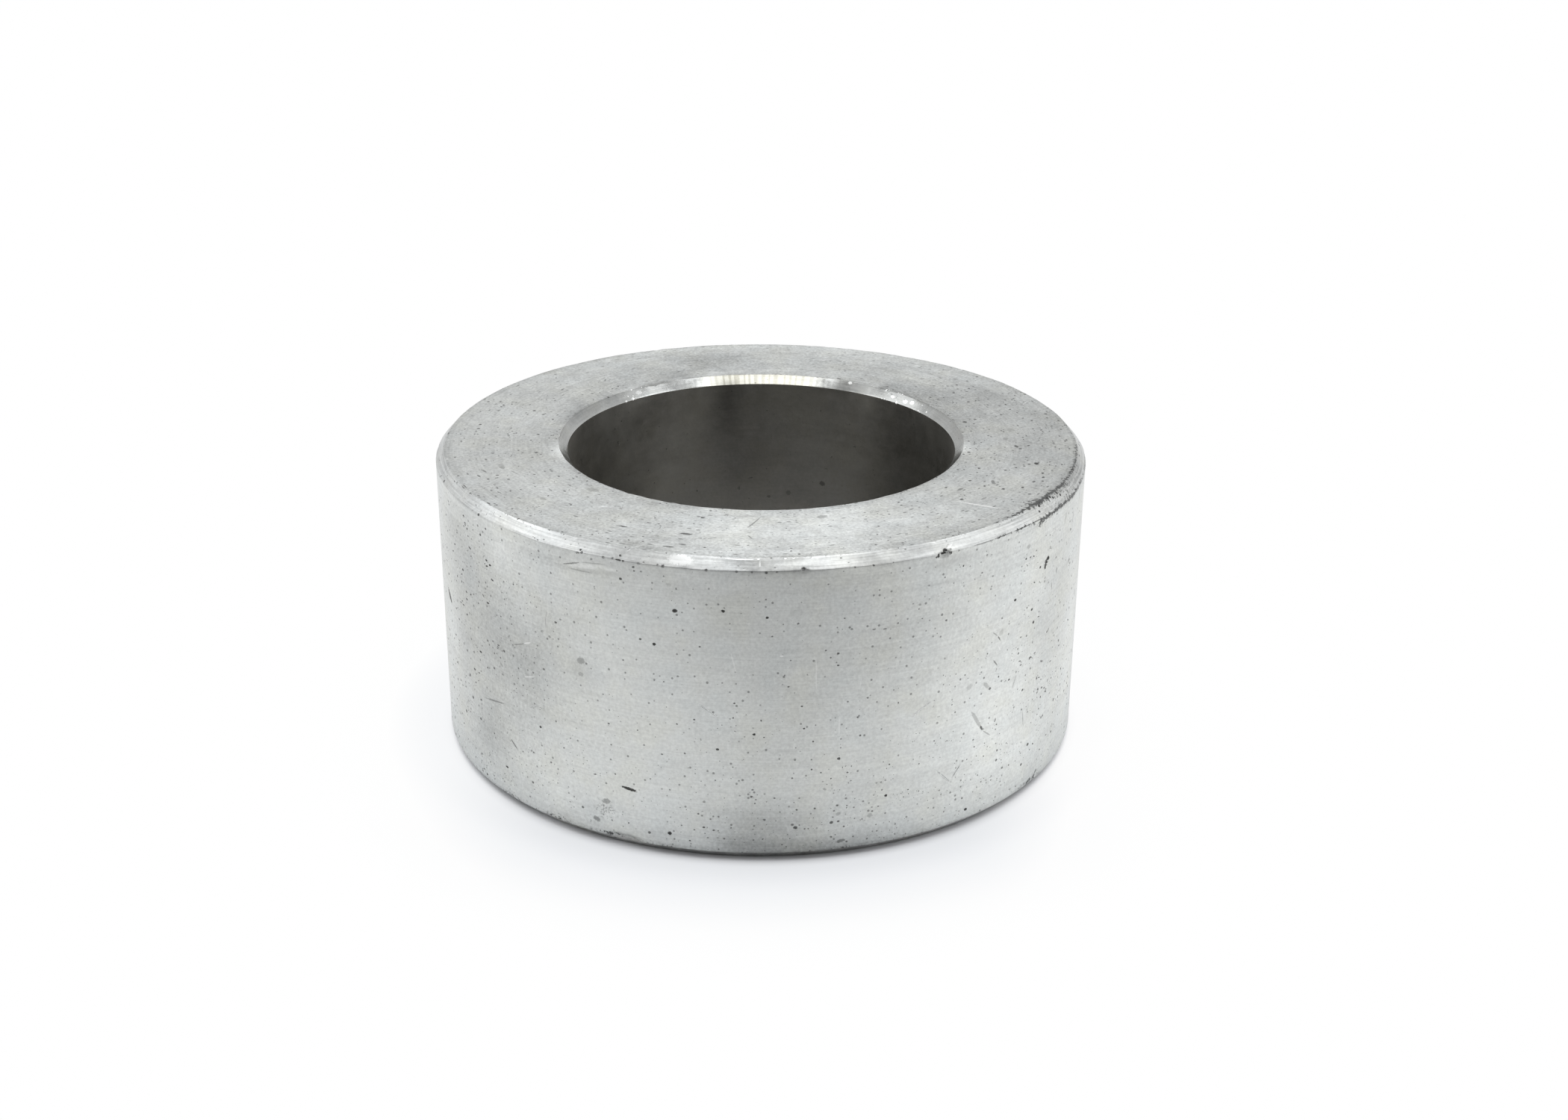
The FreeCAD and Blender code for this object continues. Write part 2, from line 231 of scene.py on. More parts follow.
# The same in the top face, with the radius in place of the height.
TOP_SPECKS = {
    -1: [
        (50.6, 17.39, 0.13), (67, 22.6, 0.15), (69.1, 22.34, 0.15),
    ],
    -0.95: [
        (47, 19.65, 0.17),
    ],
    -0.9: [
        (72.2, 19.95, 0.14), (65, 22.8, 0.12),
    ],
    -0.85: [
        (70.3, 20.2, 0.13), (73.2, 20.98, 0.14),
    ],
    -0.8: [
        (35.1, 17.11, 0.12), (36.4, 16.92, 0.11), (71.2, 22.25, 0.09), (64.3, 16.74, 0.1),
    ],
    -0.75: [
        (73.8, 22.97, 0.1),
    ],
    -0.7: [
        (-77.6, 23.59, 0.12), (-55.8, 21, 0.1), (82.4, 20, 0.17), (60.3, 19.98, 0.1), (61, 19.3, 0.1),
        (54.4, 23.6, 0.1),
    ],
    -0.65: [
        (-58.4, 22.86, 0.12), (-56.5, 21.69, 0.1),
    ],
    -0.6: [
        (-78.5, 20.73, 0.14), (-62.8, 17.42, 0.13), (23.3, 16.06, 0.09), (53.3, 22.4, 0.11),
    ],
    -0.55: [
        (-77.7, 18.51, 0.14), (75, 17.98, 0.1), (51.2, 19.38, 0.09),
    ],
    -0.5: [
        (-78.6, 20.74, 0.17), (61.1, 18.66, 0.09), (51.7, 22.11, 0.12), (44.2, 21.72, 0.12),
        (36.8, 18.74, 0.09), (57.5, 22.19, 0.1),
    ],
    -0.45: [
        (-10.4, 21.39, 0.09), (38.6, 21.53, 0.13), (38.1, 20.61, 0.1), (26.6, 22.33, 0.13),
        (32.8, 21.28, 0.1),
    ],
    -0.4: [
        (-33.7, 16, 0.1), (20.6, 24.3, 0.1), (38.5, 19.86, 0.09),
    ],
    -0.35: [
        (-82.1, 21.36, 0.12), (-75.5, 22.58, 0.12), (4.2, 18.31, 0.08),
    ],
    -0.3: [
        (-71.7, 21.72, 0.12),
    ],
}

# Marks in the wall of the bore.
BORE_MARKS = [
    (159.6, 13.75, 0.28, 0.22, 0, -0.6, 0), (158.3, 15.1, 0.16, 0.12, 0, -0.3, 0),
    (-173.2, 13, 0.26, 0.2, 0, -0.35, 0), (171, 12.6, 0.24, 0.22, 0, -0.35, 0),
    (177.5, 12.2, 0.16, 0.14, 0, -0.4, 10),
]

# Painted highlights in the chamfer at the mouth of the bore: bright blobs where the lamps' reflections lie.
PAINTED_MOUTH_HIGHLIGHTS = [
    (151.5, 22.92, 0.2, 0.14, 0, 1, 0), (135, 22.66, 0.2, 0.12, 0, 0.8, 0),
    (129.4, 22.62, 0.26, 0.16, 0, 1, 0), (126.6, 22.7, 0.24, 0.16, 0, 0.9, 0),
    (-138.6, 22.7, 0.34, 0.18, 0, 0.45, 0),
]

# Lots of seeded marks: the area, how many, between which turns, half length, width over length,
# the spread of their lean in degrees, and the tones of the strongest and the weakest.
LOOSE_MARKS = [
    ("wall", 1000, (-180, 180), (0.04, 0.13), (0.6, 1), 60, (-1, -0.5)),
    ("lower half", 1200, (-180, 180), (0.04, 0.15), (0.6, 1), 60, (-1, -0.5)),
    ("lower two thirds", 260, (20, 100), (0.04, 0.15), (0.6, 1), 60, (-1, -0.5)),
    ("wall", 360, (-100, -40), (0.04, 0.13), (0.6, 1), 60, (-1, -0.5)),
    ("top", 900, (-140, 140), (0.04, 0.15), (0.5, 1), 40, (-0.9, -0.35)),
    ("top", 140, (120, 240), (0.05, 0.22), (0.4, 0.8), 20, (-0.6, -0.2)),
    ("top", 900, (-50, 130), (0.04, 0.16), (0.5, 1), 40, (-0.95, -0.4)),
    ("top", 90, (-60, 130), (0.08, 0.3), (0.3, 0.6), 10, (-0.6, -0.3)),
    ("top", 80, (-180, 180), (0.1, 0.6), (0.08, 0.16), 50, (0.5, 0.1)),
    ("wall", 110, (-180, 180), (0.1, 0.9), (0.06, 0.1), 70, (0.45, 0.1)),
    ("wall", 60, (-180, 180), (0.1, 0.5), (0.08, 0.16), 70, (-0.7, -0.3)),
    ("bore", 90, (-180, 180), (0.05, 0.3), (0.4, 0.9), 40, (-0.5, -0.2)),
    ("wall", 420, (-78, -38), (0.06, 0.2), (0.3, 0.55), 12, (-1, -0.5)),
    ("wall", 200, (44, 84), (0.06, 0.18), (0.3, 0.55), 14, (-1, -0.45)),
    ("foot", 160, (-12, 24), (0.03, 0.08), (0.6, 1), 40, (-0.8, -0.35)),
    # The two lots in the mouth are small bright blobs of painted highlight.
    ("mouth", 30, (121, 139), (0.06, 0.16), (0.6, 1), 40, (1, 0.5)),
    ("mouth", 14, (-141, -134), (0.06, 0.16), (0.6, 1), 40, (0.7, 0.3)),
]

# Where the patches of painted light and staining, and the grime, lie: the side, whether a radius (0) or a
# height (1) places them, and whether that grows (1) or shrinks (-1) as the section is walked.
FACES = {
    "foot": (FOOT_CHAMFER, 1, 1), "wall": (OUTER_WALL, 1, 1), "rim": (TOP_CHAMFER, 1, 1),
    "top": (TOP_FACE, 0, -1), "mouth": (BORE_CHAMFER, 1, -1), "bore": (BORE_SIDE, 1, -1),
}

# Broad, soft patches on each face, stained and worn places together with painted light and shade:
# turn, height or radius, half size round the ring and along the section, the change in tone, and the lean in
# degrees of the few that lean.
PAINTED_LIGHT_AND_STAINS = {
    # On the wall, stained places, painted light brightening its lower right, and darker patches just above
    # the foot at the front.
    "wall": [
        (-48, 12.5, 3.6, 5.2, -0.24), (-40, 12, 2, 4, -0.14), (-43, 8, 2.2, 2.4, -0.07),
        (-30, 13, 1.6, 1.6, -0.11), (-52.5, 6, 2.4, 3, -0.2), (-55, 4, 2.6, 1.2, -0.08),
        (-61, 12, 3, 9, -0.14), (-55, 17, 4, 6, -0.11), (-42, 21.2, 3.5, 1, -0.07), (-36, 13, 2, 8, -0.09),
        (-34, 2.8, 3.4, 1.8, 0.07), (-26, 6.5, 4.5, 3.5, 0.05), (-17, 12.5, 6, 9, 0.13),
        (-19, 3.6, 2.6, 1.8, 0.09), (-47, 20.8, 1.7, 1.4, 0.1, 30), (-12, 22, 1.2, 0.7, 0.1),
        (-4, 1.2, 1.6, 0.7, -0.1), (0.5, 14, 1.6, 1.6, -0.05), (0.5, 2.9, 3.8, 1.5, -0.26),
        (0.4, 1.3, 3.4, 0.8, -0.24), (11.5, 1, 4.6, 0.75, -0.24), (27, 1, 1.8, 0.5, -0.08),
        (-16, 1.6, 1.2, 0.5, -0.08), (-5, 1.7, 0.9, 0.5, -0.08), (-35, 1, 1.2, 0.4, -0.1),
        (-25, 2.1, 1, 0.8, 0.07), (-35.5, 3.2, 1, 1.2, 0.06), (60, 2.1, 1.2, 1, 0.08), (12, 8, 2.6, 3, 0.06),
        (40, 10, 1.8, 1.4, 0.05), (54, 14, 2, 3.6, -0.08), (-63, 19.5, 2.4, 2, -0.08),
        (-33, 15.5, 2, 3.5, -0.05), (-68, 10.5, 2, 1.8, 0.08), (-11, 18.8, 1.2, 1.4, 0.07),
        (-19, 20, 1.6, 1, 0.05), (-34, 21.4, 1.6, 0.6, -0.07), (26.5, 18, 3, 4.5, -0.07),
        (32.5, 21.6, 2.8, 0.8, -0.1), (40, 8, 5, 5, 0.12), (51, 4.5, 4.5, 4, 0.08), (62, 15, 2.4, 7, -0.11),
        (70, 8, 3, 9, 0.07),
    ],
    # On the upper chamfer, painted highlights and painted shade along its highlight.
    "rim": [
        (-71, 22.7, 4.5, 0.8, 0.13), (-83, 22.7, 4.5, 0.8, -0.13), (-51, 22.7, 4, 0.8, 0.07),
        (-38, 22.7, 2.4, 0.7, -0.09), (-30, 22.7, 1.4, 0.7, 0.09), (-3.5, 22.7, 2.6, 0.7, -0.22),
        (5, 22.7, 2, 0.7, -0.22), (14, 22.7, 2.2, 0.7, 0.18), (29.8, 22.8, 1.2, 0.5, 0.22),
        (34, 22.7, 3, 0.7, 0.05), (42, 22.7, 3, 0.7, 0.13), (68, 22.7, 8, 0.8, -0.11),
        (62, 22.7, 4, 0.7, -0.08), (72, 22.7, 3.6, 0.7, -0.22),
    ],
    # On the top face, stained places, and painted shade darkening its back.
    "top": [
        (-168, 21, 5, 2.8, -0.2), (-163, 19.5, 4.5, 2.4, -0.16), (180, 17.8, 8, 1.8, -0.08),
        (-156, 17.2, 2.6, 1.6, -0.22), (-155, 21.8, 2, 2.2, 0.12), (-168, 16.2, 1.4, 0.8, 0.22),
        (-145, 16.4, 1.4, 0.8, 0.11), (-143, 19, 4, 2.4, -0.14), (-116, 16.8, 6, 1.4, -0.16),
        (-104, 16.1, 2.6, 0.7, -0.12), (-120, 16.1, 1.4, 0.7, 0.1), (-107, 18.6, 2.4, 1, -0.08),
        (-84, 16.2, 2, 0.8, -0.13), (-96, 22.8, 5, 1.4, 0.07), (-52, 23.9, 3.4, 0.6, 0.1),
        (-48, 19.5, 2.2, 1.2, 0.08), (-24, 16.1, 1.8, 0.6, -0.1), (10, 16, 5, 0.6, -0.07),
        (12, 22.8, 2, 1.4, 0.08), (50, 17, 2.6, 1, 0.09), (74, 20.2, 1.8, 1.4, -0.07),
        (95, 16.1, 4.2, 0.7, -0.13), (98, 23.2, 2.2, 1, -0.11), (145, 16.4, 2, 1, -0.11),
        (157, 16.2, 2, 0.8, 0.12), (-98, 17.4, 3, 1.5, -0.14), (-62, 21, 7, 3, 0.08),
        (-22, 16.6, 4, 1, -0.12), (-16, 22.4, 4, 1.7, -0.12), (-18.5, 23.9, 1.4, 0.5, -0.16),
        (-17, 24.1, 3.4, 0.3, -0.08), (-4, 23.7, 2.6, 0.4, -0.1), (24, 23.9, 1.7, 0.5, -0.15),
        (38.5, 24.1, 2.2, 0.3, -0.14), (4, 20, 5, 2, 0.07), (22, 19, 4.5, 3.6, 0.12),
        (33, 23.6, 2.6, 0.9, -0.12), (62, 23.3, 4, 0.9, -0.08), (78, 22, 4, 1.8, -0.12),
        (86, 20.5, 2.6, 2.2, -0.12), (108, 20, 4.5, 4.6, -0.13), (117, 21.8, 3, 1.2, -0.16),
        (105, 23, 2, 1, -0.12), (132, 17.2, 6, 1.6, -0.14), (146, 20, 2.4, 2.4, -0.12),
        (166, 20, 6, 2.5, -0.14),
    ],
    # On the bore's chamfer, painted highlights and painted shade where the lamps' reflections lie.
    "mouth": [
        (-157, 22.7, 0.5, 1, -0.2), (-147.5, 22.7, 0.8, 1, -0.12), (-145, 22.7, 1.1, 1, -0.22),
        (-152.5, 22.7, 1, 1, -0.1), (-136.5, 22.7, 0.8, 1, 0.18), (-122, 22.7, 0.9, 1, 0.12),
        (120, 22.7, 1.8, 1, 0.09), (141, 22.7, 1.8, 1, -0.12), (160, 22.7, 0.6, 1, -0.12),
        (-141, 22.7, 1.5, 1, -0.08), (-124, 22.7, 2.4, 1, -0.16), (-111, 22.7, 3, 1, -0.28),
        (-107, 22.7, 1.6, 1, -0.16), (-95, 22.7, 2.6, 1, -0.08), (-77, 22.7, 2.3, 1, 0.85),
        (80.5, 22.7, 1.3, 1, 0.75), (100, 22.7, 3, 1, 0.1), (144, 22.7, 0.7, 1, 0.36),
        (152, 22.7, 0.5, 1, -0.26), (155, 22.7, 0.5, 1, -0.22),
    ],
    # On the foot chamfer at the front, painted shade where it mirrors the shade under the ring.
    "foot": [
        (0, 0.3, 17, 0.6, -0.55),
    ],
    # In the bore, painted reflections: a dark wedge at the back and lighter and darker patches to the sides.
    "bore": [
        (-148.5, 17, 2.2, 6.5, 0.22, -28), (-169, 21.2, 1.1, 2.6, -0.4), (-171.8, 16, 2.6, 5, -0.26),
        (-103, 18, 3.4, 9, 0.42), (124, 18, 3.2, 9, -0.22), (134, 19, 2.6, 7, -0.12),
        (170, 13, 3, 2.6, -0.12),
    ],
}

# Grime that has gathered in broken patches, placed in the same way, with how thick it is.
GRIME = {
    "top": [
        (38, 24.26, 1.6, 0.06, 0.25), (44.5, 24.24, 1.4, 0.09, 0.5), (49.5, 24.2, 1.3, 0.14, 0.75),
        (54.5, 24.18, 1.2, 0.24, 1.05), (59.5, 24.16, 1.3, 0.2, 1.05), (64.5, 24.25, 1.4, 0.15, 0.8),
        (70.5, 24.27, 1.6, 0.09, 0.5), (76.5, 24.24, 1.6, 0.1, 0.7), (83, 24.26, 1.4, 0.1, 0.6),
        (90, 24.28, 2, 0.06, 0.3), (98, 24.28, 2, 0.05, 0.2), (53, 23.7, 1.2, 0.22, 0.35),
    ],
    "rim": [
        (62, 22.75, 2.6, 0.34, 0.25), (73, 22.7, 3, 0.34, 0.12),
    ],
    "wall": [
        (42, 22.3, 1.4, 0.06, 0.4), (47.8, 22.28, 1.2, 0.1, 0.65), (53.4, 21.98, 0.8, 0.32, 0.7),
        (55.5, 22.16, 1.3, 0.2, 0.7), (60.5, 22.2, 1.4, 0.17, 0.85), (66, 22.16, 1.4, 0.2, 0.9),
        (72, 22.22, 1.6, 0.15, 0.65), (80, 22.3, 2, 0.08, 0.5), (-29.6, 22.3, 0.4, 0.08, 0.5),
        (-48, 0.75, 1.2, 0.12, 0.4), (-36, 0.75, 1, 0.14, 0.45), (-25, 0.75, 1.6, 0.14, 0.5),
        (-16, 0.72, 1.2, 0.1, 0.3), (15, 0.72, 1.6, 0.1, 0.3), (54, 0.8, 1.2, 0.18, 0.6),
        (-26.5, 2.6, 1, 0.6, 0.2),
    ],
}

# Darker lines round the ring along its edges, painted shade where the rounded edges mirror darker
# surroundings, with some burr and grime under the upper chamfer: the side at whose first corner each lies,
# how far past that corner, how much darker it is, and half its width.
EDGE_LINES = [
    (OUTER_WALL, 0, 0.07, 0.2), (TOP_CHAMFER, 0, 0.02, 0.2), (TOP_CHAMFER, -0.05, 0.12, 0.05),
    (TOP_FACE, 0.1, 0.06, 0.12), (TOP_FACE, 0.1, 0.06, 0.5), (BORE_CHAMFER, 0, 0.1, 0.9),
    (BORE_CHAMFER, 0, 0.08, 0.1),
]

# How deep plain specks and seeded marks are, in thousandths of a mm for each mm of half size,
# and the depth that the tones map writes as 1.
SPECK_DEPTH, LOOSE_DEPTH, DEPTH_UNIT = 200.0, 150.0, 50.0
# How much further than its half sizes a mark draws faces to itself, how far beyond its half
# length it looks for them, in mm, and the place in its frame of a face that no mark reaches.
MARK_SKIRT, MARK_REACH, OFF_MARK = 0.12, 1.2, 30.0

# Colours that are laid over the bare metal or multiply it, and the colour of the lamps.
GRIME_COLOUR = (0.06, 0.063, 0.062, 1.0)
# Pits and specks take the first of these, and so does the painted shade of the dents; scratches take the
# next, and so do painted highlights.
PIT_AND_PAINTED_SHADE_COLOUR = (0.035, 0.035, 0.033, 1.0)
SCRATCH_AND_PAINTED_HIGHLIGHT_COLOUR = (0.93, 0.94, 0.93, 1.0)
WARM_FILM, COOL_FILM = (1.0, 0.994, 0.972, 1.0), (0.985, 0.993, 1.0, 1.0)
# The cream is a painted highlight on the bore's chamfer, and the grey paints the chatter's reflections
# across it.
PAINTED_HIGHLIGHT_CREAM, STRIPE_GREY = (0.98, 0.95, 0.865, 1.0), (0.45, 0.43, 0.37, 1.0)
DAYLIGHT = (0.98, 0.99, 1.01)

rng = np.random.default_rng(7)


def stations(x, step):
    """Places along x whose spacing follows step: one over step is summed along x, and the
    places divide that sum evenly."""
    steps = np.diff(x) * 2.0 / (step[1:] + step[:-1])
    passed = np.concatenate([[0.0], np.cumsum(steps)])
    count = math.ceil(passed[-1]) + 1
    return np.interp(np.linspace(0.0, passed[-1], count), passed, x)


def hill(x, centre, half):
    """A soft hill of height 1: e to the minus square of the distance over half."""
    return np.exp(-((x - centre) / half) ** 2)


def side_shares(low, edge):
    """How far along each side of the section its points lie, from 0 to 1: closer at the heights
    of the knocks on the outer wall and at the edges of the top face, and evenly on the rest."""
    shares = [np.linspace(0.0, 1.0, count) for count in (5, 5, 0, 7, 0, 7, 10, 3)]
    z = np.linspace(low, edge, 4001)
    step = np.full_like(z, 0.42)
    for at in KNOCKS[:, 1]:
        step = np.minimum(step, 0.13 + 0.29 * np.clip(abs(z - at) / 0.45 - 1.0, 0.0, 1.0))
    shares[OUTER_WALL] = (stations(z, step) - low) / (edge - low)
    inward = np.linspace(0.0, 1.0, 401)
    step = np.interp(inward, [0.0, 0.06, 0.2, 0.9, 1.0], [0.009, 0.02, 0.08, 0.08, 0.03])
    shares[TOP_FACE] = stations(inward, step)
    return shares


def ring_section():
    """The ring's section as points (radius, height), walked from the foot's inner edge out and
    round to the bore's foot: eight straight sides whose corners are arcs tangent to both.
    Returns the points, the side that each is on, and the length walked up to each."""
    low, high, edge = CHAMFER, LENGTH - CHAMFER, LENGTH - DROP
    corners = np.array([
        (BORE + CHAMFER, 0.0), (OUTER - CHAMFER, 0.0), (OUTER, low), (OUTER, edge),
        (OUTER - LIP, LENGTH), (BORE + CHAMFER, LENGTH), (BORE, high), (BORE, low),
    ])
    rounding = np.array([0.05, 0.06, 0.09, 0.06, 0.05, 0.06, 0.05, 0.05])
    shares = side_shares(low, edge)
    after = np.roll(corners, -1, axis=0)
    along = (after - corners) / np.linalg.norm(after - corners, axis=1)[:, None]
    before = np.roll(along, 1, axis=0)
    bend = np.arccos((before * along).sum(axis=1))
    cut = rounding * np.tan(bend / 2)
    points, side = [], []
    for i in range(8):
        outward = np.array([before[i][1], -before[i][0]])
        sweep = bend[i] * np.array([0.25, 0.5, 0.75])[:, None]
        centre = corners[i] - before[i] * cut[i] - outward * rounding[i]
        points.append(centre + rounding[i] * (np.cos(sweep) * outward + np.sin(sweep) * before[i]))
        start = corners[i] + along[i] * cut[i]
        end = after[i] - along[i] * cut[(i + 1) % 8]
        points.append(start + (end - start) * shares[i][:, None])
        side += [i] * (3 + len(shares[i]))
    points = np.concatenate(points)
    walked = np.concatenate([[0.0], np.cumsum(np.linalg.norm(np.diff(points, axis=0), axis=1))])
    return points, np.array(side), walked


def ring_turns():
    """The turns of the ring's columns: about half a degree apart at the front and the back,
    closer at the knocks, and wider at the sides."""
    x = np.linspace(-180.0, 180.0, 7201)
    step = np.interp(abs(x), [0, 78, 95, 140, 155, 180], [0.58, 0.58, 1.2, 1.2, 0.54, 0.54])
    for at in KNOCKS[:, 0]:
        step = np.minimum(step, 0.27 + np.clip(abs(x - at) / 1.6 - 1.0, 0.0, 1.0))
    return stations(x, step)[:-1]


def wander(turn, seed, waves, longest, shortest):
    """A slow, seeded wander round the ring with a spread of 1: a sum of cosines that each go
    round a whole number of times."""
    draw = np.random.default_rng(seed)
    times = draw.integers(longest, shortest, waves)
    phase = draw.uniform(0.0, 2 * np.pi, waves)
    return np.cos(np.radians(turn)[:, None] * times + phase).sum(axis=1) * math.sqrt(2.0 / waves)


def wear_edges(section, side, turn, radius, height):
    """Moves the rows near three edges by a few hundredths: the two edges of the upper chamfer
    and the upper edge of the bore each wander on their own. The chamfer's lower edge is worn
    down at the right, and two burrs hang over the bore."""
    upper = 0.018 * wander(turn, 11, 14, 3, 40)
    upper += 0.07 * hill(turn, 20.0, 1.1) - 0.03 * hill(turn, 17.8, 0.9)
    lower = 0.014 * wander(turn, 12, 14, 3, 40) + 0.14 * hill(turn, 66.0, 14.0)
    mouth = 0.012 * wander(turn, 14, 16, 3, 60)
    mouth -= 0.09 * hill(turn, -23.2, 1.0) + 0.05 * hill(turn, -33.0, 1.3)
    r, z = section.T
    near_upper = hill(r, OUTER - LIP, 0.28) * np.isin(side, [TOP_CHAMFER, TOP_FACE])
    near_lower = hill(z, LENGTH - DROP, 0.28) * np.isin(side, [OUTER_WALL, TOP_CHAMFER])
    near_mouth = hill(r, BORE + CHAMFER, 0.2) * np.isin(side, [TOP_FACE, BORE_CHAMFER])
    radius -= near_upper[:, None] * upper
    height -= near_lower[:, None] * lower
    radius += near_mouth[:, None] * mouth


def nick_rims(section, turn, radius, height):
    """Small seeded nicks along four rims, each a round hollow that goes into its edge."""
    rims = [
        (OUTER, LENGTH - DROP, -0.92, -0.38, 46), (OUTER - LIP, LENGTH, -0.38, -0.92, 46),
        (BORE + CHAMFER, LENGTH, 0.38, -0.92, 24), (OUTER, CHAMFER, -0.92, 0.38, 60),
    ]
    for r, z, dr, dz, count in rims:
        away = np.exp(-(((section[:, 0] - r) ** 2 + (section[:, 1] - z) ** 2) / 0.07 ** 2))
        centre = rng.uniform(-180.0, 180.0, count)[:, None]
        half = rng.uniform(0.08, 0.32, count)[:, None]
        deep = rng.uniform(0.006, 0.028, count)[:, None]
        hollow = (deep * np.exp(-(np.radians(turn - centre) * r / half) ** 2)).sum(axis=0)
        radius += away[:, None] * hollow * dr
        height += away[:, None] * hollow * dz


def chatter_mouth(section, side, turn, radius):
    """The chatter of the cutter in the bore's chamfer: 174 shallow waves round the ring, which
    die out at the chamfer's edges."""
    waves = 0.0035 * np.cos(np.radians(turn) * 174 + 1.5 * wander(turn, 13, 6, 2, 9))
    off_middle = abs(section[:, 1] - (LENGTH - CHAMFER / 2)) / 0.36
    radius += (np.clip(1.0 - off_middle, 0.0, 1.0) * (side == BORE_CHAMFER))[:, None] * waves


def knocked(radius, height, turn):
    """The radius, cut back to OUTER - (deep - x^2 / 2 sweep - y^2 / 2 edge) wherever that is
    smaller, x and y being the distances along and across each knock."""
    for at, z, slant, sweep, edge, deep in KNOCKS:
        across = np.radians(turn - at) * OUTER
        up = height - z
        lean = math.radians(slant)
        x = across * math.cos(lean) - up * math.sin(lean)
        y = across * math.sin(lean) + up * math.cos(lean)
        cut = deep - x * x / (2 * sweep) - y * y / (2 * edge)
        radius = np.where(cut > 0.0, np.minimum(radius, OUTER - cut), radius)
    return radius


def make_ring():
    """The ring as a surface of two parameters, the turn and the length walked along the
    section, with its edges worn, its chamfer chattered and its wall knocked."""
    section, side, walked = ring_section()
    turn = ring_turns()
    rows, columns = len(section), len(turn)
    radius = np.repeat(section[:, :1], columns, axis=1)
    height = np.repeat(section[:, 1:], columns, axis=1)
    wear_edges(section, side, turn, radius, height)
    nick_rims(section, turn, radius, height)
    chatter_mouth(section, side, turn, radius)
    outside = np.isin(side, OUTSIDE)
    radius[outside] = knocked(radius[outside], height[outside], turn)
    t = np.radians(turn)
    places = np.stack([radius * np.sin(t), -radius * np.cos(t), height], axis=-1)
    at = np.arange(rows * columns).reshape(rows, columns)
    right, up = np.roll(at, -1, axis=1), np.roll(at, -1, axis=0)
    faces = np.stack([at, right, np.roll(right, -1, axis=0), up], axis=-1).reshape(-1, 4)
    mesh = bpy.data.meshes.new("spacer_ring")
    mesh.from_pydata((places.reshape(-1, 3) * MM).tolist(), [], faces.tolist())
    mesh.polygons.foreach_set("use_smooth", np.ones(len(faces), bool))
    mesh.polygons.foreach_set("material_index", np.repeat(FINISH_OF_SIDE[side], columns))
    # The skin map: the turn in degrees, and the length walked along the section in mm. The row
    # that closes the section, at the inner edge of the underside, is laid out 0.9 long.
    ends = np.append(turn[1:], 180.0)
    tops = np.append(walked[1:], walked[-1] + 0.9)
    u = np.broadcast_to(np.stack([turn, ends, ends, turn], axis=-1)[None], (rows, columns, 4))
    v = np.broadcast_to(np.stack([walked, walked, tops, tops], axis=-1)[:, None], (rows, columns, 4))
    add_map(mesh, "skin", u, v)
    lay_marks(mesh, u, v, section, side, walked)
    lay_painted_light_and_stains(mesh, u, v, section, side, walked)
    mesh.update()
    ring = bpy.data.objects.new("spacer_ring", mesh)
    bpy.context.scene.collection.objects.link(ring)
    print("ring", rows, "rows", columns, "columns", 2 * len(faces), "triangles")
    return ring


def add_map(mesh, name, u, v):
    """A UV map from two arrays of corner values."""
    corners = np.stack([u, v], axis=-1).astype(np.float32)
    mesh.uv_layers.new(name=name, do_init=False).uv.foreach_set("vector", corners.ravel())


def length_at(place, on, axis, way, section, walked):
    """The length walked to a radius (axis 0) or a height (axis 1) on the rows that are on."""
    return np.interp(way * place, way * section[on, axis], walked[on])


def round_marks(specks):
    """Plain specks as marks: slightly wider than high, and deeper the larger they are."""
    rows = [(*speck, tone) for tone, lot in specks.items() for speck in lot]
    turn, place, half, tone = np.array(rows).T
    return np.stack([turn, place, half, half * 0.8, half * 0.0, tone, half * SPECK_DEPTH], axis=1)


def placed_marks(section, side, walked):
    """The marks with a place of their own, as an array of turn, length walked, half length,
    half width, lean, tone and depth."""
    lots = [
        (np.concatenate([WALL_MARKS, round_marks(WALL_SPECKS)]), np.isin(side, OUTSIDE), 1, 1),
        (np.concatenate([TOP_MARKS, round_marks(TOP_SPECKS)]), side == TOP_FACE, 0, -1),
        (np.array(BORE_MARKS), side == BORE_SIDE, 1, -1),
        (np.array(PAINTED_MOUTH_HIGHLIGHTS), side == BORE_CHAMFER, 1, -1),
    ]
    for marks, on, axis, way in lots:
        marks[:, 1] = length_at(marks[:, 1], on, axis, way, section, walked)
    return np.concatenate([marks for marks, *_ in lots])


def scattered(draw, count, turns, lengths, half, slim, lean, tone):
    """One lot of seeded marks. Six in ten lie anywhere in the area, and the rest in loose
    clusters. Their sizes follow a steep power, and the larger are the stronger in tone."""
    lot = draw.uniform(0.0, 1.0, count)
    turn, length = draw.uniform(*turns, count), draw.uniform(*lengths, count)
    own = draw.integers(0, max(count // 10, 1), count)
    near = draw.uniform(0.0, 1.0, count) > 0.6
    turn[near] = turn[own[near]] + draw.normal(0.0, 2.6, near.sum())
    length[near] = length[own[near]] + draw.normal(0.0, 0.9, near.sum())
    size = half[0] + (half[1] - half[0]) * lot ** 4
    width = size * draw.uniform(*slim, count)
    leaning = draw.normal(0.0, lean, count)
    weaker = draw.uniform(0.0, 1.0, count) ** 0.7
    strength = tone[0] + (tone[1] - tone[0]) * weaker * (1.0 - lot ** 3)
    length = np.clip(length, *lengths)
    return np.stack([turn, length, size, width, leaning, strength, size * LOOSE_DEPTH], axis=1)


